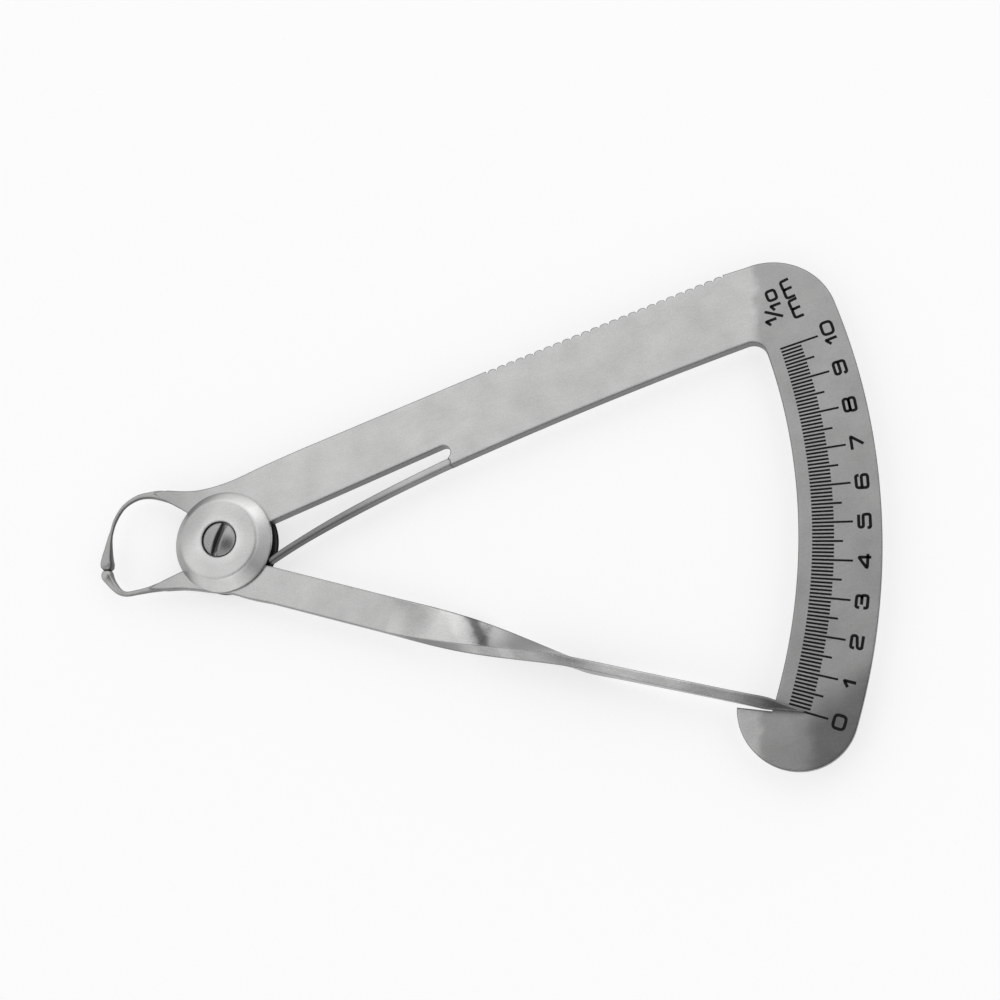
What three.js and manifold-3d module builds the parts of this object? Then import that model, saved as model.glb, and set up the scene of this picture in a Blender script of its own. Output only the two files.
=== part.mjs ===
// Dental spring caliper: two flat steel arms on one pivot, with beaks on the left and a 0 to 10 mm scale
// on the right. Units are millimetres. The origin is on the pivot axis at the back of the hub.
// +X points to the middle of the scale, +Z out of the front face that carries the scale.
import * as THREE from 'three';
import { mergeVertices } from 'three/addons/utils/BufferGeometryUtils.js';
import Module from 'manifold-3d';

const wasm = await Module();
wasm.setup();

// Measuring law: the arm turns by the angle whose chord at the beak contact is the full reading.
const JAW_RADIUS = 17.04;
const JAW_ANGLE = 190.8;
const FULL_OPENING = 10;
const SWEEP = 2 * THREE.MathUtils.radToDeg(Math.asin(FULL_OPENING / (2 * JAW_RADIUS)));
const ZERO_ANGLE = -SWEEP / 2;

// Stack of the hub, from the back face up.
const REAR_DISC_THICKNESS = 1.25;
const PLATE_THICKNESS = 1.75;
const CAP_HEIGHT = 2;
const RUNNING_GAP = 0.05;
const PLATE_BOTTOM = REAR_DISC_THICKNESS;
const PLATE_TOP = PLATE_BOTTOM + PLATE_THICKNESS;
const PLATE_MIDDLE = PLATE_BOTTOM + PLATE_THICKNESS / 2;
const CAP_TOP = PLATE_TOP + CAP_HEIGHT;

// Hub.
const CAP_RADIUS = 6.7;
const REAR_DISC_RADIUS = 6.58;
const CAP_RIM_HEIGHT = 0.375;
const CAP_FLAT_RADIUS = 5.3;
const CAP_SHOULDER = 0.35;
const CAP_FOOT_CHAMFER = 0.08;
const SCREW_SEAT_DEPTH = 0.875;
const SCREW_SEAT_GAP = 0.15;
const REAR_DISC_CHAMFER = 0.3;
const BOSS_RADIUS = 4.3;
const BOSS_GAP = 0.25;
const POST_RADIUS = 2.4;
const POST_GAP = 0.06;
const POST_FLOOR = 0.5;
const SHANK_RADIUS = 1.3;
const SHANK_GAP = 0.06;
const SHANK_END_GAP = 0.25;
const HEAD_RADIUS = 2.25;
const HEAD_EDGE_HEIGHT = 0.72;
const HEAD_DOME = 0.58;
const DRIVER_SLOT_WIDTH = 0.8;
const DRIVER_SLOT_DEPTH = 1.12;
const DRIVER_SLOT_ANGLE = 72;

// Frame arm, in its own axes: along runs up the arm from the pivot, across is square to it.
const ARM_ANGLE = 20.5;
const ARM_TOP = 7.93;
const ARM_BOTTOM = -2.15;
const ARM_BOW = 0.4;
const ARM_STRAIGHT_START = 13.6;
const SERRATION_MARGIN = 3.05;
const SERRATION_PITCH = 1.3;
const SERRATION_COUNT = 25;
const SERRATION_DEPTH = 0.45;
const SERRATION_FALL = 0.38;
const SERRATION_SHOULDER = 0.12;

// Scale plate and end lobe.
const SCALE_OUTER_RADIUS = 84.4;
const SCALE_WIDTH = 9.95;
const SCALE_INNER_RADIUS = SCALE_OUTER_RADIUS - SCALE_WIDTH;
const CORNER_RADIUS = 8.5;
const CORNER_DROP = 0.3;
const CORNER_FILLET = 1.9;
const LOBE_RADIUS = 7.15;
const LOBE_ANGLE = -17.1;
const LOBE_EDGE_ANGLE = 173.4;

// Slot and leaf spring, in the arm's axes.
const SLOT_END = 31.4;
const SLOT_TOP = 0.83;
const SLOT_END_RADIUS = 0.965;
const SLOT_RISE = 0.0238;
const LEAF_ROOT_WIDTH = 0.95;
const LEAF_ROOT_INSET = 0.2;
const LEAF_TIP_WIDTH = 0.62;
const LEAF_TIP_ALONG = 4.9;
const LEAF_TIP_ACROSS = -4.62;
const LEAF_CONTROL_ALONG = 13.86;
const LEAF_CONTROL_ACROSS = -2.46;
const LEAF_SIDE_GAP = 0.1;
const LEAF_ROOT_GAP = 0.25;

// Pointer arm, in its own axes: along runs out from the pivot, across is square to it.
const POINTER_ANGLE = -14.93;
const FLAT_CENTRE = -3.88;
const FLAT_WIDTH = 4.6;
const FLAT_LENGTH = 25;
const FLAT_START = 3.1;
const FLAT_EASE = 0.8;
const HEEL_LENGTH = 11;
const HEEL_INSET = 0.2;
const TWIST_LENGTH = 26;
const TWIST_SOFTNESS = 0.5;
const TWIST_SHIFT = -0.1;
const TWIST_LIFT = 0.14;
const BLADE_HEIGHT = 4.1;
const BLADE_THICKNESS = 1.2;
const BLADE_END_THICKNESS = 1.4;
const TIP_REACH = 3.65;
const TIP_WIDTH = 0.2;
const TIP_HEIGHT = 0.5;
const TIP_LIFT = 0.3;
const RIM_CLEARANCE = 0.9;
const STOP_GAP = 0.3;

// Beaks: square bars with soft corners that swell to a rounded measuring tip.
const BEAK_BAR = 0.5;
const BEAK_SOFTNESS = 0.24;
const BEAK_BEND_RADIUS = 4.85;
const BEAK_LEG = 5.25;
const UPPER_TIP_WIDTH = 1.6;
const LOWER_TIP_WIDTH = 1.46;
const TIP_END_WIDTH = 1;

const CURVE_STEPS = 64;
const ROUND_STEPS = 72;

const radians = THREE.MathUtils.degToRad;
const point = (x, y) => new THREE.Vector2(x, y);
const angleOf = (p) => THREE.MathUtils.radToDeg(Math.atan2(p.y, p.x));
const turned = (degrees) => (along, across) => (
  point(along, across).rotateAround(point(0, 0), radians(degrees))
);
const polar = (radius, degrees) => turned(degrees)(radius, 0);
const onArm = turned(ARM_ANGLE);
const onPointer = turned(POINTER_ANGLE);

function arc(centre, radius, fromDegrees, toDegrees, steps) {
  const clockwise = toDegrees < fromDegrees;
  const curve = new THREE.EllipseCurve(
    centre.x, centre.y, radius, radius, radians(fromDegrees), radians(toDegrees), clockwise,
  );
  return curve.getPoints(steps);
}

// Closed solids

function solid(geometry) {
  const bare = new THREE.BufferGeometry();
  bare.setAttribute('position', geometry.getAttribute('position').clone());
  if (geometry.index) bare.setIndex(geometry.index.clone());
  const merged = mergeVertices(bare, 1e-5);
  return new wasm.Manifold(new wasm.Mesh({
    numProp: 3,
    vertProperties: merged.getAttribute('position').array,
    triVerts: new Uint32Array(merged.index.array),
  }));
}

function plate(points, bottom, top) {
  const outline = new THREE.Shape(points);
  const geometry = new THREE.ExtrudeGeometry(outline, { depth: top - bottom, bevelEnabled: false });
  return solid(geometry.translate(0, 0, bottom));
}

function disc(centre, radius, bottom, top) {
  const geometry = new THREE.CylinderGeometry(radius, radius, top - bottom, ROUND_STEPS);
  geometry.rotateX(Math.PI / 2).translate(centre.x, centre.y, (bottom + top) / 2);
  return solid(geometry);
}

function turnedBody(profile) {
  const geometry = new THREE.LatheGeometry(profile.map(([r, z]) => point(r, z)), ROUND_STEPS);
  return solid(geometry.rotateX(Math.PI / 2));
}

// One ring of a loft: a rectangle with rounded corners, square to the path, turned about it by the twist.
// With no corner steps the corners are sharp.
function ring(station, heading, cornerSteps) {
  const { x, y, z, width, height, corner, twist } = station;
  const side = new THREE.Vector3(-heading.y, heading.x, 0);
  const up = new THREE.Vector3(0, 0, 1);
  const across = side.clone().multiplyScalar(Math.cos(twist)).addScaledVector(up, -Math.sin(twist));
  const normal = side.clone().multiplyScalar(Math.sin(twist)).addScaledVector(up, Math.cos(twist));
  const halfWidth = width / 2 - corner;
  const halfHeight = height / 2 - corner;
  const centres = [[1, 1], [-1, 1], [-1, -1], [1, -1]];
  return centres.flatMap(([sx, sy], quarter) => Array.from({ length: cornerSteps + 1 }, (_, i) => {
    const angle = (quarter + i / Math.max(1, cornerSteps)) * Math.PI / 2;
    const a = sx * halfWidth + corner * Math.cos(angle);
    const b = sy * halfHeight + corner * Math.sin(angle);
    return new THREE.Vector3(x, y, z).addScaledVector(across, a).addScaledVector(normal, b);
  }));
}

// A closed body through the stations: smooth between them, with flat ends.
function loft(stations, rings, cornerSteps = 4) {
  const keys = ['x', 'y', 'z', 'width', 'height', 'corner', 'twist'];
  const lengths = [0];
  for (let i = 1; i < stations.length; i += 1) {
    const step = Math.hypot(stations[i].x - stations[i - 1].x, stations[i].y - stations[i - 1].y);
    lengths.push(lengths[i - 1] + step);
  }
  const values = stations.flatMap((station) => keys.map((key) => station[key]));
  const spline = new THREE.CubicInterpolant(lengths, values, keys.length);
  const total = lengths[lengths.length - 1];
  const sample = (s) => {
    const row = Array.from(spline.evaluate(s));
    return Object.fromEntries(keys.map((key, i) => [key, row[i]]));
  };
  const loops = Array.from({ length: rings + 1 }, (_, i) => {
    const s = total * i / rings;
    const station = sample(s);
    station.corner = Math.min(station.corner, station.width / 2 - 0.001, station.height / 2 - 0.001);
    const before = sample(Math.max(0, s - 0.01));
    const after = sample(Math.min(total, s + 0.01));
    const heading = point(after.x - before.x, after.y - before.y).normalize();
    return ring(station, heading, cornerSteps);
  });
  const sides = loops[0].length;
  const positions = loops.flat().flatMap((p) => [p.x, p.y, p.z]);
  const faces = [];
  for (let i = 0; i < rings; i += 1) {
    for (let j = 0; j < sides; j += 1) {
      const a = i * sides + j;
      const b = i * sides + (j + 1) % sides;
      faces.push(a, b, a + sides, b, b + sides, a + sides);
    }
  }
  const last = rings * sides;
  for (let j = 1; j < sides - 1; j += 1) {
    faces.push(0, j + 1, j, last, last + j, last + j + 1);
  }
  const geometry = new THREE.BufferGeometry();
  geometry.setAttribute('position', new THREE.Float32BufferAttribute(positions, 3));
  geometry.setIndex(faces);
  return solid(geometry);
}

function station(p, width, height, corner, z = PLATE_MIDDLE, twist = 0) {
  return { x: p.x, y: p.y, z, width, height, corner, twist };
}

// Square section of a beak, with soft corners.
function softSquare(p, size) {
  return station(p, size, size, size * BEAK_SOFTNESS);
}

// Frame

// Centre of the round between the serrated edge and the outer arc, in the arm's axes.
// The serrations end before it.
const cornerAcross = ARM_TOP - SERRATION_FALL - CORNER_DROP - CORNER_RADIUS;
const cornerAlong = Math.sqrt((SCALE_OUTER_RADIUS - CORNER_RADIUS) ** 2 - cornerAcross ** 2);
const serrationStart = cornerAlong - SERRATION_MARGIN - SERRATION_COUNT * SERRATION_PITCH;

const slotEdge = (along) => SLOT_TOP - SLOT_RISE * (SLOT_END - along);
const leafRoot = onArm(SLOT_END - LEAF_ROOT_INSET, SLOT_TOP - 2 * SLOT_END_RADIUS - LEAF_ROOT_WIDTH / 2);

function serratedEdge() {
  const points = [];
  for (let tooth = SERRATION_COUNT - 1; tooth >= 0; tooth -= 1) {
    const near = serrationStart + tooth * SERRATION_PITCH;
    const top = ARM_TOP - SERRATION_FALL * tooth / SERRATION_COUNT;
    const valley = top - SERRATION_DEPTH;
    const hump = new THREE.CubicBezierCurve(
      onArm(near + SERRATION_PITCH, valley),
      onArm(near + SERRATION_PITCH * 0.95, top + SERRATION_DEPTH / 3),
      onArm(near + SERRATION_PITCH * 0.05, top + SERRATION_DEPTH / 3),
      onArm(near, valley),
    );
    points.push(...hump.getPoints(6));
  }
  const serrationEnd = serrationStart + SERRATION_COUNT * SERRATION_PITCH;
  points.unshift(onArm(serrationEnd + SERRATION_SHOULDER, ARM_TOP - SERRATION_FALL));
  points.push(onArm(serrationStart - SERRATION_SHOULDER, ARM_TOP));
  return points;
}

function frameOutline() {
  const slotCentre = onArm(SLOT_END, SLOT_TOP - SLOT_END_RADIUS);
  const slotBottom = SLOT_TOP - 2 * SLOT_END_RADIUS;
  const lowerStart = onArm(SLOT_END, slotBottom - LEAF_ROOT_WIDTH);
  const filletAcross = ARM_BOTTOM - CORNER_FILLET;
  const filletAlong = Math.sqrt((SCALE_INNER_RADIUS - CORNER_FILLET) ** 2 - filletAcross ** 2);
  const filletCentre = onArm(filletAlong, filletAcross);
  const lowerEdge = new THREE.QuadraticBezierCurve(
    lowerStart,
    onArm((SLOT_END + filletAlong) / 2, ARM_BOTTOM + 2 * ARM_BOW),
    onArm(filletAlong, ARM_BOTTOM),
  );
  const cornerCentre = onArm(cornerAlong, cornerAcross);

  // The lobe is a circle that touches the outer arc from inside.
  // Its straight edge stops the pointer blade at 0.
  const lobeCentre = polar(SCALE_OUTER_RADIUS - LOBE_RADIUS, LOBE_ANGLE);
  const stopOffset = THREE.MathUtils.radToDeg((BLADE_END_THICKNESS / 2 + STOP_GAP) / SCALE_INNER_RADIUS);
  const stopAngle = ZERO_ANGLE - stopOffset;
  const edgeStart = polar(SCALE_INNER_RADIUS, stopAngle);
  const edgeWay = polar(1, LOBE_EDGE_ANGLE);
  const toStart = edgeStart.clone().sub(lobeCentre);
  const half = toStart.dot(edgeWay);
  const reach = -half + Math.sqrt(half * half - toStart.lengthSq() + LOBE_RADIUS ** 2);
  const edgeEnd = edgeStart.clone().addScaledVector(edgeWay, reach);
  const lobeFrom = angleOf(edgeEnd.clone().sub(lobeCentre));

  const saddle = new THREE.SplineCurve([
    onArm(ARM_STRAIGHT_START, ARM_TOP), onArm(8.25, 7.82),
    point(0, 8.15), point(-4.5, 7.15), point(-8.6, 7.33),
  ]);
  const throat = new THREE.SplineCurve([point(-8.6, 5.82), point(-6, 4.42), point(-3.2, 2.6)]);

  return [
    onArm(BOSS_RADIUS * 0.7, slotEdge(BOSS_RADIUS * 0.7)),
    ...arc(slotCentre, SLOT_END_RADIUS, ARM_ANGLE + 90, ARM_ANGLE - 90, 14),
    ...lowerEdge.getPoints(14),
    ...arc(filletCentre, CORNER_FILLET, ARM_ANGLE + 90, angleOf(filletCentre), 10).slice(1),
    ...arc(point(0, 0), SCALE_INNER_RADIUS, angleOf(filletCentre), stopAngle, CURVE_STEPS).slice(1),
    edgeEnd,
    ...arc(lobeCentre, LOBE_RADIUS, lobeFrom, LOBE_ANGLE + 360, 36).slice(1),
    ...arc(point(0, 0), SCALE_OUTER_RADIUS, LOBE_ANGLE, angleOf(cornerCentre), CURVE_STEPS).slice(1),
    ...arc(cornerCentre, CORNER_RADIUS, angleOf(cornerCentre), ARM_ANGLE + 90, 24).slice(1),
    ...serratedEdge(),
    ...saddle.getPoints(28),
    point(-10.6, 7.06),
    ...throat.getPoints(10),
  ];
}

// Contact point of the closed jaws.
const contact = polar(JAW_RADIUS, JAW_ANGLE);

function upperBeak() {
  const tip = contact.clone().add(point(0, RUNNING_GAP / 2));
  const legTop = tip.clone().add(point(0.25, BEAK_LEG));
  const bend = legTop.clone().add(point(BEAK_BEND_RADIUS, 0));
  const onBend = (degrees) => bend.clone().add(polar(BEAK_BEND_RADIUS, degrees));
  const leg = (dx, dy, size) => softSquare(tip.clone().add(point(dx, dy)), size);
  return loft([
    station(point(-7.4, 6.15), 1.5, PLATE_THICKNESS - 0.1, 0.1),
    station(point(-9.4, 6.76), 1.24, PLATE_THICKNESS - 0.02, 0.1),
    station(onBend(88), 0.78, 1.15, 0.2),
    station(onBend(108), 0.62, 0.74, 0.16),
    softSquare(onBend(135), BEAK_BAR),
    softSquare(onBend(162), BEAK_BAR * 0.92),
    leg(0.1, BEAK_LEG, BEAK_BAR * 0.84),
    leg(-0.06, 4.5, 0.54),
    leg(-0.13, 3.75, 0.72),
    leg(-0.17, 3, 0.92),
    leg(-0.21, 2.2, 1.18),
    leg(-0.22, 1.45, 1.42),
    leg(-0.16, 0.75, UPPER_TIP_WIDTH),
    leg(-0.08, 0.32, 1.46),
    leg(-0.08, 0.12, 1.24),
    leg(-0.08, 0, TIP_END_WIDTH),
  ], 64);
}

function scaleFrame() {
  const gauge = plate(frameOutline(), PLATE_BOTTOM, PLATE_TOP);
  const lapTop = PLATE_MIDDLE - RUNNING_GAP / 2;
  const boss = disc(point(0, 0), BOSS_RADIUS, PLATE_BOTTOM, lapTop);
  const lapRoom = disc(point(0, 0), BOSS_RADIUS + BOSS_GAP, lapTop, PLATE_TOP + 1);
  const bore = disc(point(0, 0), POST_RADIUS + POST_GAP, PLATE_BOTTOM - 1, PLATE_TOP + 1);
  const leafSocket = disc(leafRoot, LEAF_ROOT_WIDTH / 2 + LEAF_ROOT_GAP, PLATE_BOTTOM - 1, PLATE_TOP + 1);
  return gauge.add(upperBeak()).add(boss).subtract(lapRoom).subtract(bore).subtract(leafSocket);
}

// Leaf spring: a tapering strip along a bowed centre line, round at both ends.
function leafSpring() {
  const root = leafRoot.clone().rotateAround(point(0, 0), -radians(ARM_ANGLE));
  const line = new THREE.QuadraticBezierCurve(
    root,
    point(LEAF_CONTROL_ALONG, LEAF_CONTROL_ACROSS),
    point(LEAF_TIP_ALONG, LEAF_TIP_ACROSS),
  );
  const steps = 28;
  const edge = (sign) => Array.from({ length: steps + 1 }, (_, i) => {
    const t = i / steps;
    const way = line.getTangent(t);
    const width = THREE.MathUtils.lerp(LEAF_ROOT_WIDTH, LEAF_TIP_WIDTH, t);
    return line.getPoint(t).add(point(-way.y, way.x).multiplyScalar(sign * width / 2));
  });
  const cap = (t, width, from) => {
    const heading = angleOf(line.getTangent(t));
    return arc(line.getPoint(t), width / 2, heading + from, heading + from + 180, 10).slice(1, -1);
  };
  const outline = [
    ...edge(-1),
    ...cap(1, LEAF_TIP_WIDTH, -90),
    ...edge(1).reverse(),
    ...cap(0, LEAF_ROOT_WIDTH, 90),
  ].map((p) => onArm(p.x, p.y));
  return plate(outline, PLATE_BOTTOM + LEAF_SIDE_GAP, PLATE_TOP - LEAF_SIDE_GAP);
}

// Pointer arm

function pointerOutline() {
  const upper = FLAT_CENTRE + FLAT_WIDTH / 2;
  const lower = FLAT_CENTRE - FLAT_WIDTH / 2;
  const heel = new THREE.SplineCurve([
    onPointer(HEEL_LENGTH, lower + HEEL_INSET), onPointer(7, lower - 0.1), onPointer(4.8, lower - 0.16),
    onPointer(2.6, lower - 0.12), point(-2, -6.44), point(-4, -6.16), point(-6, -5.99), point(-8.2, -6.05),
  ]);
  const throat = new THREE.SplineCurve([point(-8.2, -4.78), point(-5.8, -3.72), point(-3.2, -2.7)]);
  return [
    onPointer(FLAT_START, upper - HEEL_INSET),
    onPointer(BOSS_RADIUS, upper - HEEL_INSET),
    ...heel.getPoints(32),
    point(-10.4, -5.92),
    ...throat.getPoints(10),
  ].reverse();
}

function lowerBeak() {
  const tip = contact.clone().add(point(0, -RUNNING_GAP / 2));
  const leg = (dx, dy, size) => softSquare(tip.clone().add(point(dx, dy)), size);
  return loft([
    station(point(-7.2, -5.2), 1.3, PLATE_THICKNESS - 0.2, 0.1),
    station(point(-8.8, -5.55), 0.96, PLATE_THICKNESS - 0.14, 0.1),
    station(point(-10.6, -5.92), 0.7, 1.1, 0.2),
    station(point(-12.4, -6.24), 0.62, 0.7, 0.16),
    leg(2.9, -3.2, BEAK_BAR * 1.3),
    leg(2, -2.96, 0.8),
    leg(1.14, -2.26, 0.98),
    leg(0.38, -1.36, 1.22),
    leg(-0.04, -0.68, LOWER_TIP_WIDTH),
    leg(-0.06, -0.34, 1.34),
    leg(-0.06, -0.12, 1.16),
    leg(-0.06, 0, TIP_END_WIDTH),
  ], 56);
}

// The flat starts under the cap and turns on edge over the twist. The blade then runs straight
// to the zero line and rises over the scale plate.
function pointerBlade() {
  const thickness = PLATE_THICKNESS - 2 * RUNNING_GAP;
  const tip = polar(SCALE_INNER_RADIUS + TIP_REACH, ZERO_ANGLE);
  const twistEnd = onPointer(FLAT_LENGTH + TWIST_LENGTH, FLAT_CENTRE + TWIST_SHIFT);
  const bladeLength = tip.distanceTo(twistEnd);
  const rimShare = 1 - (TIP_REACH + RIM_CLEARANCE) / bladeLength;
  const stations = [FLAT_START, FLAT_LENGTH - 2 * FLAT_EASE, FLAT_LENGTH - FLAT_EASE].map((along) => (
    station(onPointer(along, FLAT_CENTRE), FLAT_WIDTH, thickness, 0)
  ));
  for (let i = 0; i <= 12; i += 1) {
    const u = i / 12;
    const share = THREE.MathUtils.lerp(u, THREE.MathUtils.smoothstep(u, 0, 1), TWIST_SOFTNESS);
    const turn = share * Math.PI / 2;
    const along = FLAT_LENGTH + TWIST_LENGTH * u;
    const across = FLAT_CENTRE + TWIST_SHIFT * u ** 3;
    const width = THREE.MathUtils.lerp(FLAT_WIDTH, BLADE_HEIGHT, u);
    const height = THREE.MathUtils.lerp(thickness, BLADE_THICKNESS, u * u);
    const middle = PLATE_MIDDLE + TWIST_LIFT * 4 * u * (1 - u);
    stations.push(station(onPointer(along, across), width, height, 0, middle, turn));
  }
  const top = PLATE_MIDDLE + BLADE_HEIGHT / 2;
  for (const share of [0.15, 0.3, 0.45, 0.6, 0.75, rimShare, 1 - 0.45 * (1 - rimShare), 1]) {
    const rise = Math.min(1, share / rimShare);
    const bottom = THREE.MathUtils.lerp(top - BLADE_HEIGHT, PLATE_TOP + TIP_LIFT, rise);
    const taper = Math.max(0, (share - rimShare) / (1 - rimShare));
    const crest = THREE.MathUtils.lerp(top, PLATE_TOP + TIP_LIFT + TIP_HEIGHT, taper);
    const full = THREE.MathUtils.lerp(BLADE_THICKNESS, BLADE_END_THICKNESS, rise ** 4);
    const width = THREE.MathUtils.lerp(full, TIP_WIDTH, taper);
    const spot = twistEnd.clone().lerp(tip, share);
    stations.push(station(spot, crest - bottom, width, 0, (crest + bottom) / 2, Math.PI / 2));
  }
  return loft(stations, 170, 0);
}

function pointerArm() {
  const bottom = PLATE_BOTTOM + RUNNING_GAP;
  const top = PLATE_TOP - RUNNING_GAP;
  const lapBottom = PLATE_MIDDLE + RUNNING_GAP / 2;
  const boss = disc(point(0, 0), BOSS_RADIUS, lapBottom, top);
  const lapRoom = disc(point(0, 0), BOSS_RADIUS + BOSS_GAP, bottom - 1, lapBottom);
  const bore = disc(point(0, 0), POST_RADIUS + POST_GAP, bottom - 1, top + 1);
  const flat = plate(pointerOutline(), bottom, top);
  return flat.add(lowerBeak()).add(pointerBlade()).add(boss).subtract(lapRoom).subtract(bore);
}

// Hub pieces, each turned from a profile of radius and height

function pivotPost() {
  const bore = SHANK_RADIUS + SHANK_GAP;
  return turnedBody([
    [0, 0],
    [REAR_DISC_RADIUS - REAR_DISC_CHAMFER, 0],
    [REAR_DISC_RADIUS, REAR_DISC_CHAMFER],
    [REAR_DISC_RADIUS, REAR_DISC_THICKNESS],
    [POST_RADIUS, REAR_DISC_THICKNESS],
    [POST_RADIUS, PLATE_TOP],
    [bore, PLATE_TOP],
    [bore, POST_FLOOR],
    [0, POST_FLOOR],
  ]);
}

function frontCap() {
  const bore = SHANK_RADIUS + SHANK_GAP;
  const seat = HEAD_RADIUS + SCREW_SEAT_GAP;
  const slope = point(CAP_FLAT_RADIUS - CAP_RADIUS, CAP_HEIGHT - CAP_RIM_HEIGHT).normalize();
  const rim = point(CAP_RADIUS, PLATE_TOP + CAP_RIM_HEIGHT);
  const shoulder = point(CAP_FLAT_RADIUS, CAP_TOP);
  const round = (corner, from, to, size) => new THREE.QuadraticBezierCurve(
    corner.clone().addScaledVector(from, size), corner, corner.clone().addScaledVector(to, size),
  ).getPoints(4).map((p) => [p.x, p.y]);
  return turnedBody([
    [bore, PLATE_TOP],
    [CAP_RADIUS - CAP_FOOT_CHAMFER, PLATE_TOP],
    [CAP_RADIUS, PLATE_TOP + CAP_FOOT_CHAMFER],
    ...round(rim, point(0, -1), slope, CAP_RIM_HEIGHT / 3),
    ...round(shoulder, slope.clone().negate(), point(-1, 0), CAP_SHOULDER),
    [seat, CAP_TOP],
    [seat, CAP_TOP - SCREW_SEAT_DEPTH],
    [bore, CAP_TOP - SCREW_SEAT_DEPTH],
    [bore, PLATE_TOP],
  ]);
}

function pivotScrew() {
  const seat = CAP_TOP - SCREW_SEAT_DEPTH;
  const edge = seat + HEAD_EDGE_HEIGHT;
  const dome = Array.from({ length: 9 }, (_, i) => {
    const share = 1 - i / 8;
    return [HEAD_RADIUS * share, edge + HEAD_DOME * (1 - share * share)];
  });
  const body = turnedBody([
    [0, POST_FLOOR + SHANK_END_GAP],
    [SHANK_RADIUS, POST_FLOOR + SHANK_END_GAP],
    [SHANK_RADIUS, seat],
    [HEAD_RADIUS, seat],
    ...dome,
  ]);
  const slot = new THREE.BoxGeometry(3 * HEAD_RADIUS, DRIVER_SLOT_WIDTH, 2);
  slot.translate(0, 0, edge + HEAD_DOME - DRIVER_SLOT_DEPTH + 1).rotateZ(radians(DRIVER_SLOT_ANGLE));
  return body.subtract(solid(slot));
}

// Scene graph

function mesh(name, body, color, roughness) {
  const { vertProperties, triVerts } = body.getMesh();
  const geometry = new THREE.BufferGeometry();
  geometry.setAttribute('position', new THREE.BufferAttribute(vertProperties, 3));
  geometry.setIndex(new THREE.BufferAttribute(triVerts, 1));
  geometry.computeVertexNormals();
  const material = new THREE.MeshStandardMaterial({ name, color, roughness, metalness: 1 });
  const result = new THREE.Mesh(geometry, material);
  result.name = name;
  return result;
}

const caliper = new THREE.Group();
caliper.name = 'dental_spring_caliper';
caliper.add(
  mesh('scale_frame', scaleFrame(), 0xb4b4b3, 0.42),
  mesh('leaf_spring', leafSpring(), 0xb0b0af, 0.4),
  mesh('pointer_arm', pointerArm(), 0xb2b2b1, 0.4),
  mesh('pivot_post', pivotPost(), 0xa8a8a8, 0.38),
  mesh('front_cap', frontCap(), 0xc0bfbe, 0.34),
  mesh('pivot_screw', pivotScrew(), 0x9c9c9b, 0.36),
);

export default caliper;
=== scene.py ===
"""Looks of the dental spring caliper: satin steel, a curved leaf spring and a tenth-millimetre scale."""

import math

import bpy
import numpy as np
from mathutils import Matrix, Vector

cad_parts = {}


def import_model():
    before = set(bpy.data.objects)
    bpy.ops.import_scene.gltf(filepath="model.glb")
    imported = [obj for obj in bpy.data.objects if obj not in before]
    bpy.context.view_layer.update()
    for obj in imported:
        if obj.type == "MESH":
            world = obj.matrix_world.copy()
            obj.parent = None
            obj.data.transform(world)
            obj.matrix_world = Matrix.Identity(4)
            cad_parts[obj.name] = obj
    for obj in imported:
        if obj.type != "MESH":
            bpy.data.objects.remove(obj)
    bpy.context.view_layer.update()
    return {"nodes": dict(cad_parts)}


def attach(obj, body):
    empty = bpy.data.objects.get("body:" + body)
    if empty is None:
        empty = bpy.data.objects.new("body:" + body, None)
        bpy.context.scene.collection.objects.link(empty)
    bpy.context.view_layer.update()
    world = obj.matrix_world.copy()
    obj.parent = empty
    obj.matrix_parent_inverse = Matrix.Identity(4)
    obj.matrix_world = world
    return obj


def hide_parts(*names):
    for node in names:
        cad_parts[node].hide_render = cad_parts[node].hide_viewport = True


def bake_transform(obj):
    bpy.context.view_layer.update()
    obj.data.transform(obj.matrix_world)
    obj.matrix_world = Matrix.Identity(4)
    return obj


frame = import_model()
MM = 0.001

# Sizes in millimetres that the dressing shares with the solids. The leaf's points are along and across
# the arm.
PLATE_BOTTOM, PLATE_TOP = 1.25, 3.0
ARM_ANGLE = 20.5
SWEEP = 34.128
LEAF_ROOT = (31.2, -1.575)
LEAF_CONTROL = (13.86, -2.46)
LEAF_TIP = (4.9, -4.62)
LEAF_ROOT_WIDTH, LEAF_TIP_WIDTH, LEAF_SOCKET = 0.95, 0.62, 0.72

scene = bpy.context.scene
scene.view_settings.view_transform = "Standard"


# Mesh helpers

def add_mesh(name, verts, faces, body=None):
    mesh = bpy.data.meshes.new(name)
    mesh.from_pydata([tuple(c * MM for c in v) for v in verts], [], faces)
    mesh.validate()
    obj = bpy.data.objects.new(name, mesh)
    scene.collection.objects.link(obj)
    if body:
        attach(obj, body)
    return obj


def on_arm(along, across):
    c, s = math.cos(math.radians(ARM_ANGLE)), math.sin(math.radians(ARM_ANGLE))
    return along * c - across * s, along * s + across * c


def polar(radius, degrees):
    return radius * math.cos(math.radians(degrees)), radius * math.sin(math.radians(degrees))


def unit(v):
    length = np.hypot(*v)
    return v / length if length > 1e-9 else v * 0


# Engraving: closed flat strips that stand a few microns above the plate

INK_TOP, INK_BOTTOM = PLATE_TOP + 0.008, PLATE_TOP - 0.01
CORNER_STEPS = 7
SMALLEST_CUT = 0.02


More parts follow.
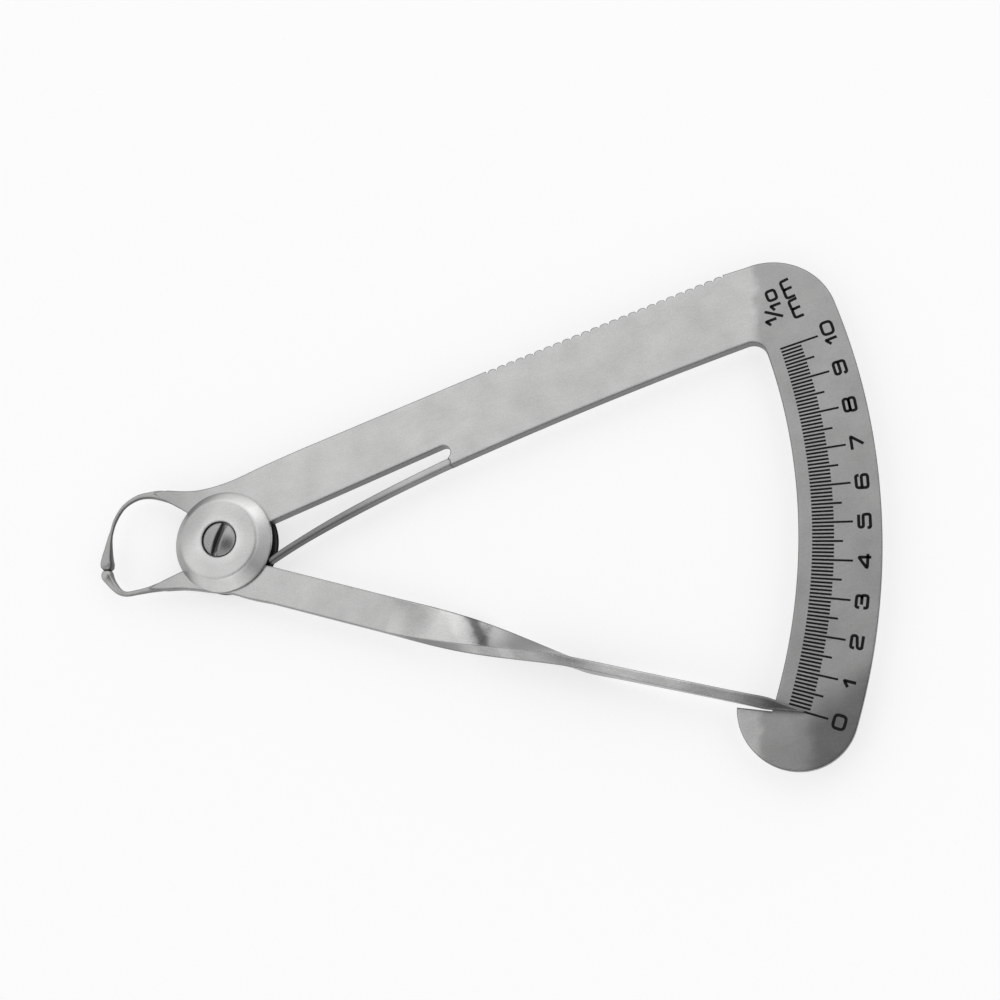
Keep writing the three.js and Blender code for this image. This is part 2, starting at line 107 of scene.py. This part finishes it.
class Ink:
    def __init__(self):
        self.verts, self.faces = [], []

    def strip(self, left, right, closed=False):
        n, base = len(left), len(self.verts)
        for a, b in zip(left, right):
            self.verts += [(*a, INK_TOP), (*b, INK_TOP), (*b, INK_BOTTOM), (*a, INK_BOTTOM)]
        for i in range(n if closed else n - 1):
            p, q = base + 4 * i, base + 4 * ((i + 1) % n)
            for k in range(4):
                self.faces.append((p + k, q + k, q + (k + 1) % 4, p + (k + 1) % 4))
        if not closed:
            self.faces.append(tuple(base + k for k in (0, 1, 2, 3)))
            self.faces.append(tuple(base + 4 * (n - 1) + k for k in (3, 2, 1, 0)))

    def stroke(self, points, width, place, radius=0.0, closed=False):
        """A strip of that width along the points, with round corners. Place puts a point on the plate."""
        path = rounded([np.array(p, float) for p in points], radius, closed)
        left, right = [], []
        n = len(path)
        for i, p in enumerate(path):
            before = path[(i - 1) % n] if closed or i else p
            after = path[(i + 1) % n] if closed or i < n - 1 else p
            way = unit(unit(p - before) + unit(after - p))
            side = np.array([-way[1], way[0]]) * width / 2
            stretch = 1 / max(0.5, abs(way @ unit(after - p if i < n - 1 or closed else p - before)))
            left.append(place(p + side * stretch))
            right.append(place(p - side * stretch))
        self.strip(left, right, closed)


def rounded(points, radius, closed):
    """The path with each corner turned into a short curve of that radius."""
    n = len(points)
    path = []
    for i, p in enumerate(points):
        if not closed and i in (0, n - 1):
            path.append(p)
            continue
        a, b = points[i - 1], points[(i + 1) % n]
        u, v = unit(a - p), unit(b - p)
        half = math.acos(max(-1.0, min(1.0, u @ v))) / 2
        cut = min(radius / math.tan(half), 0.48 * np.hypot(*(a - p)), 0.48 * np.hypot(*(b - p)))
        if cut < SMALLEST_CUT:
            path.append(p)
            continue
        for t in np.linspace(0, 1, CORNER_STEPS):
            path.append((1 - t) ** 2 * (p + u * cut) + 2 * t * (1 - t) * p + t * t * (p + v * cut))
    return path


# Each numeral is strokes of points in millimetres, corner radius and whether it closes
DIGITS = {
    0: [(((-0.8, -0.7), (0.8, -0.7), (0.8, 0.66), (-0.8, 0.66)), 0.5, True)],
    1: [(((-0.66, 0.08), (0.06, 0.62), (0.02, -0.8)), 0.06, False)],
    2: [(((-0.8, 0.2), (-0.77, 0.64), (0.68, 0.64), (0.68, 0.06), (-0.78, -0.16), (-0.8, -0.68),
          (0.76, -0.68)), 0.3, False)],
    3: [(((-0.8, 0.22), (-0.76, 0.64), (0.62, 0.64), (0.66, 0.02), (-0.42, 0.0)), 0.28, False),
        (((0.3, 0.01), (0.72, -0.02), (0.72, -0.7), (-0.78, -0.7), (-0.8, -0.24)), 0.3, False)],
    4: [(((0.48, -0.82), (0.46, 0.68), (-0.92, -0.38), (0.88, -0.42)), 0.12, False)],
    5: [(((0.82, 0.64), (-0.74, 0.64), (-0.74, 0.1), (0.82, 0.12), (0.86, -0.72), (-0.78, -0.74),
          (-0.82, -0.36)), 0.28, False)],
    6: [(((0.84, 0.28), (0.78, 0.66), (-0.72, 0.66), (-0.78, -0.73), (0.87, -0.75), (0.86, 0.0),
          (-0.72, 0.0)), 0.34, False)],
    7: [(((-0.76, 0.63), (0.92, 0.63), (-0.18, -0.8)), 0.08, False)],
    8: [(((-0.7, 0.0), (0.86, 0.0), (0.86, 0.66), (-0.7, 0.66)), 0.3, True),
        (((-0.75, -0.73), (0.9, -0.73), (0.9, 0.0), (-0.75, 0.0)), 0.32, True)],
    9: [(((0.88, 0.05), (-0.66, 0.03), (-0.68, 0.66), (0.88, 0.68), (0.9, -0.7), (-0.62, -0.73),
          (-0.7, -0.36)), 0.34, False)],
    10: [(((-1.55, 0.08), (-0.9, 0.6), (-0.84, -0.82)), 0.06, False),
         (((-0.2, -0.72), (1.4, -0.72), (1.4, 0.62), (-0.2, 0.62)), 0.5, True)],
}
NUMERAL_RADIUS, NUMERAL_STROKE = 82.3, 0.37
TICK_START, TICK_WIDTH = 76.1, 0.26
TICK_ENDS = {"tenth": 78.71, "half": 79.76, "whole": 80.98}

# The unit legend: where its fraction, the fraction's last digit and its unit stand, and the way each reads
LEGEND_STROKE = 0.37
FRACTION_PLACE, FRACTION_READING = (72.0, 28.1), 90
ZERO_SHIFT, ZERO_READING = (-0.22, 1.38), 109.5
ZERO_HALF_WIDTH, ZERO_HALF_HEIGHT, ZERO_RADIUS = 0.64, 0.56, 0.38
UNIT_PLACE, UNIT_READING = (74.4, 29.0), 111
UNIT_LETTERS = (-2.62, 0.18)
UNIT_HEIGHT, UNIT_DEPTH, UNIT_RADIUS = 0.66, -0.45, 0.3


def facing(centre, reading):
    """Places a glyph: reading is the direction of its line of text, in degrees."""
    ex, ey = polar(1, reading), polar(1, reading + 90)
    return lambda p: (centre[0] + p[0] * ex[0] + p[1] * ey[0], centre[1] + p[0] * ex[1] + p[1] * ey[1])


def engrave_scale(ticks, numerals):
    for tenth in range(101):
        angle = -SWEEP / 2 + SWEEP * tenth / 100
        kind = "whole" if tenth % 10 == 0 else "half" if tenth % 5 == 0 else "tenth"
        ticks.stroke([(TICK_START, 0), (TICK_ENDS[kind], 0)], TICK_WIDTH, facing((0, 0), angle))
    for number, strokes in DIGITS.items():
        angle = -SWEEP / 2 + SWEEP * number / 10
        place = facing(polar(NUMERAL_RADIUS, angle), 90 + angle)
        for points, radius, closed in strokes:
            numerals.stroke(points, NUMERAL_STROKE, place, radius, closed)


def engrave_legend(legend):
    """The fraction 1/10, whose zero is turned a little, and below it the unit mm."""
    fraction = facing(FRACTION_PLACE, FRACTION_READING)
    legend.stroke([(-2.56, 0.3), (-2.12, 0.93), (-1.68, -0.36)], LEGEND_STROKE, fraction, 0.05)
    legend.stroke([(-0.76, 1.1), (-1.44, -1.2)], LEGEND_STROKE, fraction)
    legend.stroke([(-0.6, -0.2), (-0.1, 0.33), (0.32, -0.9)], LEGEND_STROKE, fraction, 0.05)
    w, h = ZERO_HALF_WIDTH, ZERO_HALF_HEIGHT
    zero = facing((FRACTION_PLACE[0] + ZERO_SHIFT[0], FRACTION_PLACE[1] + ZERO_SHIFT[1]), ZERO_READING)
    legend.stroke([(-w, -h), (w, -h), (w, h), (-w, h)], LEGEND_STROKE, zero, ZERO_RADIUS, True)
    letters = facing(UNIT_PLACE, UNIT_READING)
    for left in UNIT_LETTERS:
        middle, right = left + 1.17, left + 2.34
        first = [(left, UNIT_DEPTH), (left, 0.68), (middle, UNIT_HEIGHT), (middle + 0.03, UNIT_DEPTH)]
        second = [(middle, 0.3), (middle, UNIT_HEIGHT), (right, UNIT_HEIGHT), (right + 0.06, UNIT_DEPTH)]
        legend.stroke(first, LEGEND_STROKE, letters, UNIT_RADIUS)
        legend.stroke(second, LEGEND_STROKE, letters, UNIT_RADIUS)


def engrave():
    ticks, numerals, legend = Ink(), Ink(), Ink()
    engrave_scale(ticks, numerals)
    engrave_legend(legend)
    return [
        add_mesh("scale_ticks", ticks.verts, ticks.faces, "frame"),
        add_mesh("scale_numerals", numerals.verts, numerals.faces, "frame"),
        add_mesh("unit_legend", legend.verts, legend.faces, "frame"),
    ]


# Leaf spring: one curved blade that grows out of the frame arm

LEAF_STEPS = 72
LEAF_BEVEL, LEAF_INSET = 0.1, 0.002
ROOT_STATIONS = (0.718, 0.7, 0.66, 0.6, 0.541, 0.3)  # sections of the round end, past the root
SINK_DEPTH, SINK_START, SINK_LENGTH = 0.1, 0.55, 0.2  # the end is thinner, under the cap


def leaf_sections():
    """Centre, direction, width and sink of each section, from the round root to the tip."""
    p0, p1, p2 = (np.array(p) for p in (LEAF_ROOT, LEAF_CONTROL, LEAF_TIP))
    sections = []
    for ahead in ROOT_STATIONS:
        width = 2 * min(LEAF_ROOT_WIDTH / 2, math.sqrt(LEAF_SOCKET ** 2 - ahead ** 2))
        sections.append((p0 + np.array([ahead, 0.0]), np.array([-1.0, 0.0]), width, 0.0))
    for t in np.linspace(0, 1, LEAF_STEPS + 1):
        p = (1 - t) ** 2 * p0 + 2 * t * (1 - t) * p1 + t * t * p2
        way = unit(2 * (1 - t) * (p1 - p0) + 2 * t * (p2 - p1))
        width = LEAF_ROOT_WIDTH + (LEAF_TIP_WIDTH - LEAF_ROOT_WIDTH) * t
        sink = SINK_DEPTH * min(1.0, max(0.0, (t - SINK_START) / SINK_LENGTH))
        sections.append((p, way, width, sink))
    return sections


def leaf_blade():
    sections = leaf_sections()
    verts, faces = [], []
    for p, way, width, sink in sections:
        side = np.array([-way[1], way[0]])
        half, bevel = width / 2, LEAF_BEVEL
        low, high = PLATE_BOTTOM + LEAF_INSET + sink, PLATE_TOP - LEAF_INSET - sink
        ring = [(-half, low + bevel), (-half + bevel, low), (half - bevel, low), (half, low + bevel),
                (half, high - bevel), (half - bevel, high), (-half + bevel, high), (-half, high - bevel)]
        for a, z in ring:
            verts.append((*on_arm(*(p + side * a)), z))
    n = 8
    for i in range(len(sections) - 1):
        for k in range(n):
            a, b = i * n + k, i * n + (k + 1) % n
            faces.append((a, b, b + n, a + n))
    faces.append(tuple(range(n - 1, -1, -1)))
    faces.append(tuple(len(verts) - n + k for k in range(n)))
    return add_mesh("leaf_spring_blade", verts, faces)


# Materials

class Nodes:
    """Short names for the nodes of one material or world. Values are numbers, vectors or sockets."""

    def __init__(self, tree):
        self.tree = tree

    @classmethod
    def of_material(cls, name):
        material = bpy.data.materials.new(name)
        material.use_nodes = True
        made = cls(material.node_tree)
        made.material = material
        made.shader = material.node_tree.nodes["Principled BSDF"]
        return made

    def add(self, kind, settings=None, **inputs):
        node = self.tree.nodes.new(kind)
        for key, value in (settings or {}).items():
            setattr(node, key, value)
        for key, value in inputs.items():
            self.plug(node, key.replace("_", " "), value)
        return node

    def plug(self, node, key, value):
        """Sets or links the input of that name, or of that number where the key is i and the number."""
        socket = node.inputs[int(key[1:])] if key[0] == "i" and key[1:].isdigit() else node.inputs[key]
        if isinstance(value, bpy.types.NodeSocket):
            self.tree.links.new(value, socket)
        else:
            socket.default_value = value

    def maths(self, operation, *values):
        node = self.add("ShaderNodeMath", {"operation": operation})
        for i, value in enumerate(values):
            self.plug(node, f"i{i}", value)
        return node.outputs[0]

    def times(self, value, *factors):
        for factor in factors:
            value = self.maths("MULTIPLY", value, factor)
        return value

    def mix(self, share, start, end):
        """The start where the share is 0, the end where it is 1."""
        return self.maths("ADD", start, self.maths("MULTIPLY", share, self.maths("SUBTRACT", end, start)))

    def step(self, value, start, end, low, high):
        """Goes smoothly from low, where the value is at the start, to high at the end."""
        return self.add("ShaderNodeMapRange", {"interpolation_type": "SMOOTHSTEP"},
                        Value=value, i1=start, i2=end, i3=low, i4=high).outputs[0]

    def vector_maths(self, operation, a, b):
        return self.add("ShaderNodeVectorMath", {"operation": operation}, i0=a, i1=b).outputs["Vector"]

    def dot(self, a, b):
        return self.add("ShaderNodeVectorMath", {"operation": "DOT_PRODUCT"}, i0=a, i1=b).outputs["Value"]

    def split(self, vector):
        return self.add("ShaderNodeSeparateXYZ", None, Vector=vector).outputs

    def join(self, x, y, z):
        return self.add("ShaderNodeCombineXYZ", None, X=x, Y=y, Z=z).outputs[0]

    def convert(self, kind, vector, source, target):
        settings = {"vector_type": kind, "convert_from": source, "convert_to": target}
        return self.add("ShaderNodeVectorTransform", settings, Vector=vector).outputs[0]

    def noise(self, vector, scale, detail=2.0, roughness=0.5):
        return self.add("ShaderNodeTexNoise", None, Vector=vector, Scale=scale, Detail=detail,
                        Roughness=roughness).outputs["Fac"]

    def wave(self, noise, size):
        """The noise about zero, with the size as its full height."""
        return self.maths("MULTIPLY", self.maths("SUBTRACT", noise, 0.5), size)

    def ramp(self, value, stops):
        node = self.add("ShaderNodeValToRGB", None, Fac=value)
        ramp = node.color_ramp
        while len(ramp.elements) < len(stops):
            ramp.elements.new(0.5)
        for element, (position, level) in zip(ramp.elements, stops):
            element.position = position
            element.color = (level, level, level, 1)
        return node.outputs["Color"]


EDGE_ROUND, EDGE_SAMPLES = 0.38, 6
LINE_STRETCH = (0.35, 16.0, 16.0)  # of straight brushing, along the lines and across them
RING_STRETCH = (22.0, 1.6, 22.0)  # of turned brushing, by radius, turn and height
GRAIN_SCALE, CLOUD_SCALE = 4.0, 0.25
SCRATCH_TONE, GRAIN_TONE, CLOUD_TONE = 0.26, 0.36, 0.36
SCRATCH_ROUGHNESS, GRAIN_ROUGHNESS = 0.18, 0.1
BUMP_STRENGTH, BUMP_DEPTH, BUMP_GRAIN = 0.35, 0.000012, 0.5
EDGE_SPAN = (0.8, 0.99)  # how far the rounded normal leans where an edge gets its painted dark outline
SHEEN_SPAN = (0.8, 0.97)  # how far a face looks up before the painted sheen leaves it
WARMTH = 0.99


def brush_lines(n, millimetres, angle, turned):
    """The place stretched along the brushing, and the way the lines run."""
    if turned:
        x, y, z = n.split(millimetres)
        radius = n.maths("SQRT", n.maths("ADD", n.times(x, x), n.times(y, y)))
        around = n.maths("ARCTAN2", y, x)
        lines = n.join(*(n.times(part, by) for part, by in zip((radius, around, z), RING_STRETCH)))
        return lines, n.join(n.times(y, -1.0), x, 0.0)
    along = n.add("ShaderNodeMapping", {"vector_type": "TEXTURE"}, Vector=millimetres,
                  Rotation=(0, 0, math.radians(angle))).outputs[0]
    return n.vector_maths("MULTIPLY", along, LINE_STRETCH), n.join(*polar(1, angle), 0.0)


def brushed(name, level, roughness, angle=0.0, turned=False, walls=0.42, slope=(0.15, 0.75), aniso=0.55,
            mask=None, sheen_stops=None, sheer=(0.05, 0.35, 1.0), edge=0.55, tint=1.0):
    """Satin steel with fine lines along the angle, or round the pivot axis when turned.

    Faces that don't look up or down are darker, as painted shade: by the factor walls below the first slope,
    not at all above the second. Sheer gives two more slopes and the factor below the first, also painted
    shade. Rounded edges are darker by the factor edge, a painted dark outline. Tint is the share of the light
    that a face keeps when it is seen at a flat angle. The mask is a function that gives one more factor from
    the place. The sheen stops are stops round the axis, with half of the factor for sloping faces at each: a
    painted reflection as on turned steel.
    """
    n = Nodes.of_material(name)
    place = n.add("ShaderNodeTexCoord").outputs["Object"]
    round_edges = n.add("ShaderNodeBevel", {"samples": EDGE_SAMPLES}, Radius=EDGE_ROUND * MM).outputs[0]
    millimetres = n.add("ShaderNodeVectorMath", {"operation": "SCALE"}, Vector=place, Scale=1 / MM).outputs[0]
    lines, way = brush_lines(n, millimetres, angle, turned)
    scratches = n.noise(lines, 1.0, 3.0, 0.6)
    grain = n.noise(millimetres, GRAIN_SCALE, 3.0, 0.65)
    clouds = n.noise(millimetres, CLOUD_SCALE, 3.0, 0.55)

    mottle = n.maths("ADD", n.wave(grain, GRAIN_TONE), n.wave(clouds, CLOUD_TONE))
    tone = n.maths("ADD", n.wave(scratches, SCRATCH_TONE), mottle)
    value = n.times(n.maths("ADD", tone, 1.0), level)
    if mask is not None:
        value = n.times(value, mask(n, millimetres))
    up = n.maths("ABSOLUTE", n.split(n.convert("NORMAL", round_edges, "WORLD", "OBJECT"))["Z"])
    # Painted shade: walls and steep faces are darker than faces that look up or down.
    value = n.times(value, n.step(up, *slope, walls, 1.0), n.step(up, *sheer, 1.0))
    # Painted shade: a dark outline where the rounded normal leans away from the face.
    lean = n.dot(round_edges, n.add("ShaderNodeNewGeometry").outputs["Normal"])
    value = n.times(value, n.step(lean, *EDGE_SPAN, edge, 1.0))
    # Painted reflection: light and dark places round the axis, as on turned steel.
    if sheen_stops:
        x, y, _ = n.split(millimetres)
        share = n.maths("ADD", n.maths("DIVIDE", n.maths("ARCTAN2", y, x), 2 * math.pi), 0.5)
        factor = n.times(n.ramp(share, sheen_stops), 2.0)
        value = n.times(value, n.mix(n.step(up, *SHEEN_SPAN, 1.0, 0.0), 1.0, factor))

    colour = n.add("ShaderNodeCombineColor", None, Red=value, Green=value,
                   Blue=n.times(value, WARMTH)).outputs[0]
    rough = n.maths("ADD", n.wave(scratches, SCRATCH_ROUGHNESS),
                    n.maths("ADD", n.wave(grain, GRAIN_ROUGHNESS), roughness))
    height = n.maths("ADD", scratches, n.times(grain, BUMP_GRAIN))
    bump = n.add("ShaderNodeBump", None, Strength=BUMP_STRENGTH, Distance=BUMP_DEPTH, Height=height,
                 Normal=round_edges).outputs[0]
    n.plug(n.shader, "Base Color", colour)
    n.plug(n.shader, "Metallic", 1.0)
    n.plug(n.shader, "Specular Tint", (tint, tint, tint, 1))
    n.plug(n.shader, "Roughness", rough)
    n.plug(n.shader, "Anisotropic", aniso)
    n.plug(n.shader, "Tangent", n.convert("VECTOR", way, "OBJECT", "WORLD"))
    n.plug(n.shader, "Normal", bump)
    return n.material


# Tones, and painted light and shade, that a steel node has from place to place, in millimetres

LOBE_WAY, LOBE_SPAN = (0.6, -0.8, 0.0), (61.5, 66.0)  # towards the plate's end lobe, and where it starts
TWIST_WAY, TWIST_BAND = (0.873, 0.488, 0.0), 24.1  # across the painted dark reflection band on the twist, and its place
CAP_LIGHT_WAY = (0.9, -0.44, 0.0)  # towards the side of the cap where the painted light is brighter


def along_x(n, millimetres, *steps):
    """A factor that steps along X, with a ragged line: each step is start, end, factor before and after."""
    x = n.split(millimetres)["X"]
    ragged = n.maths("ADD", x, n.wave(n.noise(millimetres, 0.35, 3.0), 3.0))
    return n.times(*(n.step(ragged, *step) for step in steps))


def frame_tone(n, millimetres):
    """The beak is darker than the arm, and so are the scale plate and the far side of its lobe."""
    tone = along_x(n, millimetres, (-14.0, 8.0, 0.66, 1.0), (69.0, 70.3, 1.0, 0.7))
    lobe = along_x(n, millimetres, (73.0, 76.5, 0.93, 0.52))
    on_lobe = n.step(n.dot(millimetres, LOBE_WAY), *LOBE_SPAN, 0.0, 1.0)
    return n.times(tone, n.mix(on_lobe, 1.0, lobe))


def pointer_tone(n, millimetres):
    """The beak is darker, the blade is lighter past its twist, and the blade is darker near its tip as
    painted shade.

    A dark band of painted reflection crosses the side of the twist that looks to +Y, with painted highlights
    on the steel on both sides of it.
    """
    # The last step darkens the blade near its tip: painted shade.
    tone = along_x(n, millimetres, (-14.0, 12.0, 0.76, 1.0), (48.0, 53.0, 1.0, 1.4),
                   (59.0, 63.0, 1.0, 0.78), (66.0, 69.5, 1.0, 0.5))
    # Painted reflection: a dark band across the twist, with painted highlights on both sides.
    across = n.maths("ADD", n.dot(millimetres, TWIST_WAY), n.wave(n.noise(millimetres, 0.5), 1.0))
    off_band = n.maths("ABSOLUTE", n.maths("SUBTRACT", across, TWIST_BAND))
    flank = n.split(n.add("ShaderNodeTexCoord").outputs["Normal"])["Y"]
    band = n.times(n.step(flank, -0.1, 0.2, 0.0, 1.0), n.step(off_band, 0.2, 1.0, 0.62, 0.0))
    painted_glint = n.times(n.step(off_band, 0.8, 1.5, 1.0, 1.17), n.step(off_band, 2.2, 3.4, 1.0, 0.855))
    return n.times(tone, painted_glint, n.maths("SUBTRACT", 1.0, band))


def cap_painted_light(n, millimetres):
    """Painted light: the cap is darker towards the upper left and brighter towards the lower right, and its
    flat is brighter than its bevel.
    """
    from_axis = n.add("ShaderNodeVectorMath", {"operation": "LENGTH"}, Vector=millimetres).outputs["Value"]
    across = n.dot(millimetres, CAP_LIGHT_WAY)
    return n.times(n.step(across, -5.0, -1.6, 0.82, 1.19), n.step(from_axis, 5.5, 6.3, 1.14, 1.0))


def leaf_tone(n, millimetres):
    """The leaf is darker towards the hub."""
    return along_x(n, millimetres, (12.0, 27.0, 0.47, 1.0))


def ink_material():
    n = Nodes.of_material("engraving_black")
    place = n.add("ShaderNodeTexCoord").outputs["Object"]
    speck = n.noise(place, 9000.0, 3.0, 0.6)
    n.plug(n.shader, "Base Color", n.ramp(speck, [(0.3, 0.003), (0.75, 0.014)]))
    n.plug(n.shader, "Roughness", 0.7)
    n.plug(n.shader, "Specular IOR Level", 0.2)
    return n.material


# Painted reflection round the cap's bevel: light and dark places as on turned steel, by share of the turn and
# level.
CAP_SHEEN_STOPS = [
    (0.0, 0.5), (0.12, 0.36), (0.2, 0.5), (0.31, 0.6), (0.36, 0.44), (0.4, 0.3), (0.44, 0.36), (0.5, 0.45),
    (0.57, 0.56), (0.625, 0.72), (0.69, 0.56), (0.8, 0.36), (0.875, 0.3), (0.95, 0.42), (1.0, 0.5),
]
STEEL_FRAME = brushed("steel_scale_frame", 0.745, 0.38, ARM_ANGLE, walls=0.2, slope=(0.6, 0.95),
                      mask=frame_tone, edge=0.45)
STEEL_POINTER = brushed("steel_pointer_arm", 0.645, 0.22, -15.0, walls=0.45, slope=(0.45, 0.95),
                        mask=pointer_tone, sheer=(0.05, 0.45, 0.65), tint=0.72)
STEEL_LEAF = brushed("steel_leaf_spring", 0.67, 0.38, 23.0, walls=0.28, slope=(0.6, 0.97), mask=leaf_tone)
STEEL_CAP = brushed("steel_front_cap", 0.67, 0.36, turned=True, walls=0.72, slope=(0.55, 0.92), aniso=0.3,
                    mask=cap_painted_light, sheen_stops=CAP_SHEEN_STOPS, tint=0.97)
# The post is near black: painted shade of the gap under the cap.
STEEL_POST = brushed("steel_pivot_post", 0.10, 0.5, turned=True, walls=0.6, tint=0.15)
STEEL_SCREW = brushed("steel_pivot_screw", 0.45, 0.30, 72.0, walls=0.35)
INK = ink_material()


# Dressing of the CAD nodes

SMOOTH_ANGLE, BEVEL_ANGLE, BEVEL_SEGMENTS = 33, 32, 3
WELD_DISTANCE = 2e-6


def dress(obj, material):
    obj.data.materials.clear()
    obj.data.materials.append(material)


def smooth_group(degrees):
    """A modifier's node group that shades smooth over edges flatter than the angle."""
    group = bpy.data.node_groups.new("smooth_by_angle", "GeometryNodeTree")
    group.interface.new_socket("Geometry", in_out="INPUT", socket_type="NodeSocketGeometry")
    group.interface.new_socket("Geometry", in_out="OUTPUT", socket_type="NodeSocketGeometry")
    start = group.nodes.new("NodeGroupInput")
    end = group.nodes.new("NodeGroupOutput")
    angle = group.nodes.new("GeometryNodeInputMeshEdgeAngle")
    sharp = group.nodes.new("FunctionNodeCompare")
    sharp.inputs["B"].default_value = math.radians(degrees)
    normal = group.nodes.new("GeometryNodeSetMeshNormal")
    normal.mode = "SHARPNESS"
    group.links.new(angle.outputs["Unsigned Angle"], sharp.inputs["A"])
    group.links.new(start.outputs[0], normal.inputs["Mesh"])
    group.links.new(sharp.outputs[0], normal.inputs["Edge Sharpness"])
    group.links.new(normal.outputs["Mesh"], end.inputs[0])
    return group


SMOOTH = smooth_group(SMOOTH_ANGLE)


def soften(obj, width):
    """Breaks the sharp edges of a CAD node with a fine rounded bevel of that width in millimetres."""
    weld = obj.modifiers.new("weld", "WELD")
    weld.merge_threshold = WELD_DISTANCE
    obj.modifiers.new("smooth", "NODES").node_group = SMOOTH
    bevel = obj.modifiers.new("edges", "BEVEL")
    bevel.width = width * MM
    bevel.segments = BEVEL_SEGMENTS
    bevel.limit_method = "ANGLE"
    bevel.angle_limit = math.radians(BEVEL_ANGLE)
    bevel.harden_normals = True
    bevel.use_clamp_overlap = True


for node, material, width in [
    ("scale_frame", STEEL_FRAME, 0.12),
    ("pointer_arm", STEEL_POINTER, 0.09),
    ("front_cap", STEEL_CAP, 0.06),
    ("pivot_post", STEEL_POST, 0.06),
    ("pivot_screw", STEEL_SCREW, 0.05),
]:
    dress(frame["nodes"][node], material)
    soften(frame["nodes"][node], width)

for piece in engrave():
    dress(piece, INK)

leaf = leaf_blade()
dress(leaf, STEEL_LEAF)
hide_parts("leaf_spring")
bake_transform(leaf)


# Floor, in millimetres, and light and camera, in metres

FLOOR_Z, FLOOR_REACH, FLOOR_GLOW = -0.02, 4000, 0.66
OVERHEAD = (0.15, -0.1, 0.98)  # where the plates mirror the camera
SOUTH_LEVEL, HORIZON_LEVEL = 0.78, 0.975
DARK_SPOTS = [  # direction, inner and outer angle in radians, factor
    ((-0.21, 0.45, 0.87), 0.1, 0.3, 0.6),
    ((-0.4, -0.47, 0.79), 0.15, 0.5, 0.62),
]
SOFTBOXES = [  # name, place, target, size and watts
    ("key", (-0.02, 0.47, 0.4), (0.03, 0, 0), 0.4, 0.05),
    ("side", (0.29, 0.41, 0.07), (0, 0, 0), 0.2, 0.09),
]
CAMERA_LENS, CAMERA_SENSOR = 61.62, 36
CAMERA_PLACE = (0.0863962, -0.0459034, 0.2088621)
CAMERA_RIGHT = (0.973324, 0.017014, -0.228805)
CAMERA_UP = (0.036716, 0.972845, 0.228526)
CAMERA_BACK = (0.226480, -0.230830, 0.946269)


def floor():
    """White to the camera and in reflections, and still darker where the object shades it."""
    n = Nodes.of_material("floor_white")
    n.plug(n.shader, "Base Color", (0.45, 0.45, 0.45, 1))
    n.plug(n.shader, "Roughness", 0.9)
    n.plug(n.shader, "Specular IOR Level", 0.0)
    path = n.add("ShaderNodeLightPath").outputs
    mirrored = n.maths("MAXIMUM", path["Is Glossy Ray"], path["Is Transmission Ray"])
    seen = n.maths("MAXIMUM", path["Is Camera Ray"], mirrored)
    n.plug(n.shader, "Emission Color", (1, 1, 1, 1))
    n.plug(n.shader, "Emission Strength", n.times(seen, FLOOR_GLOW))
    corners = [(x * FLOOR_REACH, y * FLOOR_REACH, FLOOR_Z) for x, y in ((-1, -1), (1, -1), (1, 1), (-1, 1))]
    obj = add_mesh("floor", corners, [(0, 1, 2, 3)])
    dress(obj, n.material)


def world():
    """A pale studio: dark overhead, brightest low in the north, and white at the horizon."""
    studio = bpy.data.worlds.new("studio")
    scene.world = studio
    studio.use_nodes = True
    studio.node_tree.nodes.clear()
    n = Nodes(studio.node_tree)
    direction = n.add("ShaderNodeTexCoord").outputs["Generated"]

    def angle_from(way):
        return n.maths("ARCCOSINE", n.dot(direction, Vector(way).normalized()))

    overhead = n.step(angle_from(OVERHEAD), 0.2, 0.62, 0.1, 0.95)
    east, north, height = n.split(direction)
    slant = n.maths("SUBTRACT", height, n.times(east, 0.9))
    northern = n.times(n.step(slant, -0.02, 0.08, 0.85, 0.6), n.step(slant, 0.14, 0.28, 1.0, 1.5))
    side = n.mix(n.step(north, 0.25, 0.6, 0.0, 1.0), SOUTH_LEVEL, northern)
    level = n.times(overhead, n.mix(n.step(height, 0.6, 0.85, 1.0, 0.0), 1.0, side))
    for way, inner, outer, factor in DARK_SPOTS:
        level = n.times(level, n.step(angle_from(way), inner, outer, factor, 1.0))
    level = n.mix(n.step(height, 0.03, 0.09, 1.0, 0.0), level, HORIZON_LEVEL)
    back = n.add("ShaderNodeBackground", None, Color=(1, 1, 1, 1), Strength=level)
    n.add("ShaderNodeOutputWorld", None, Surface=back.outputs[0])


def softbox(name, position, target, size, watts):
    light = bpy.data.lights.new(name, "AREA")
    light.shape = "SQUARE"
    light.size = size
    light.energy = watts
    obj = bpy.data.objects.new(name, light)
    scene.collection.objects.link(obj)
    obj.location = position
    obj.rotation_euler = (Vector(target) - Vector(position)).to_track_quat("-Z", "Y").to_euler()


def camera():
    data = bpy.data.cameras.new("camera")
    data.lens, data.sensor_width = CAMERA_LENS, CAMERA_SENSOR
    data.clip_start, data.clip_end = 0.01, 20
    obj = bpy.data.objects.new("camera", data)
    scene.collection.objects.link(obj)
    rows = zip(CAMERA_RIGHT, CAMERA_UP, CAMERA_BACK, CAMERA_PLACE)
    obj.matrix_world = Matrix((*rows, (0, 0, 0, 1)))
    scene.camera = obj


floor()
world()
for box in SOFTBOXES:
    softbox(*box)
camera()
